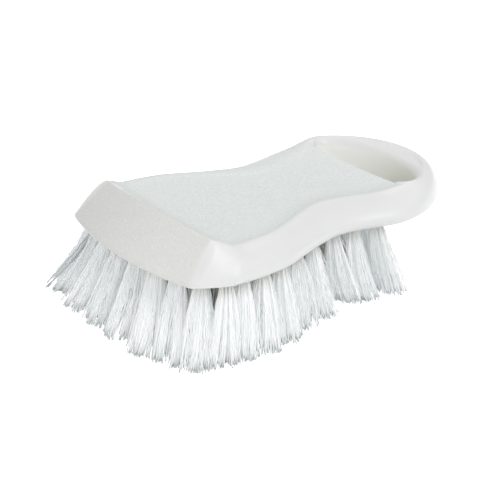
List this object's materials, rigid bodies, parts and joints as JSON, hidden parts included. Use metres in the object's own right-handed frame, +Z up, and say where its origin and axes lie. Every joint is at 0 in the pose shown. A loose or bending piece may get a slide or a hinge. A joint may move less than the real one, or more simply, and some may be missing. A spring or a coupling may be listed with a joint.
{
  "type": "cutting board brush",
  "caption": "Hand brush with a waisted one-piece plastic block, slanted prow, hanging loop and splayed bristle tufts, for scrubbing boards.",
  "frame": {"origin": "centre of the bounding box in plan, on the surface that the bristle tips stand on", "axes": "+X towards the hanging loop, -X towards the slanted prow, +Z up from the bristle tips to the block's top"},
  "size_m": [0.1682, 0.112, 0.0458],
  "materials": {
    "block_plastic": "satin moulded, finely stippled on top",
    "bristle": "fine crimped filaments, slightly translucent"
  },
  "bodies": {
    "root": {"handle_block": "block_plastic", "tuft_row01_1": "bristle", "tuft_row01_2": "bristle", "tuft_row01_3": "bristle", "tuft_row01_4": "bristle", "tuft_row01_5": "bristle", "tuft_row01_6": "bristle", "tuft_row01_7": "bristle", "tuft_row02_1": "bristle", "tuft_row02_2": "bristle", "tuft_row02_3": "bristle", "tuft_row02_4": "bristle", "tuft_row02_5": "bristle", "tuft_row02_6": "bristle", "tuft_row03_1": "bristle", "tuft_row03_2": "bristle", "tuft_row03_3": "bristle", "tuft_row03_4": "bristle", "tuft_row03_5": "bristle", "tuft_row03_6": "bristle", "tuft_row03_7": "bristle", "tuft_row04_1": "bristle", "tuft_row04_2": "bristle", "tuft_row04_3": "bristle", "tuft_row04_4": "bristle", "tuft_row04_5": "bristle", "tuft_row04_6": "bristle", "tuft_row05_1": "bristle", "tuft_row05_2": "bristle", "tuft_row05_3": "bristle", "tuft_row05_4": "bristle", "tuft_row05_5": "bristle", "tuft_row05_6": "bristle", "tuft_row05_7": "bristle", "tuft_row06_1": "bristle", "tuft_row06_2": "bristle", "tuft_row06_3": "bristle", "tuft_row06_4": "bristle", "tuft_row06_5": "bristle", "tuft_row06_6": "bristle", "tuft_row07_1": "bristle", "tuft_row07_2": "bristle", "tuft_row07_3": "bristle", "tuft_row07_4": "bristle", "tuft_row07_5": "bristle", "tuft_row08_1": "bristle", "tuft_row08_2": "bristle", "tuft_row08_3": "bristle", "tuft_row08_4": "bristle", "tuft_row08_5": "bristle", "tuft_row09_1": "bristle", "tuft_row09_2": "bristle", "tuft_row09_3": "bristle", "tuft_row09_4": "bristle", "tuft_row09_5": "bristle", "tuft_row10_1": "bristle", "tuft_row10_2": "bristle", "tuft_row10_3": "bristle", "tuft_row10_4": "bristle", "tuft_row10_5": "bristle"}
  },
  "joints": []
}
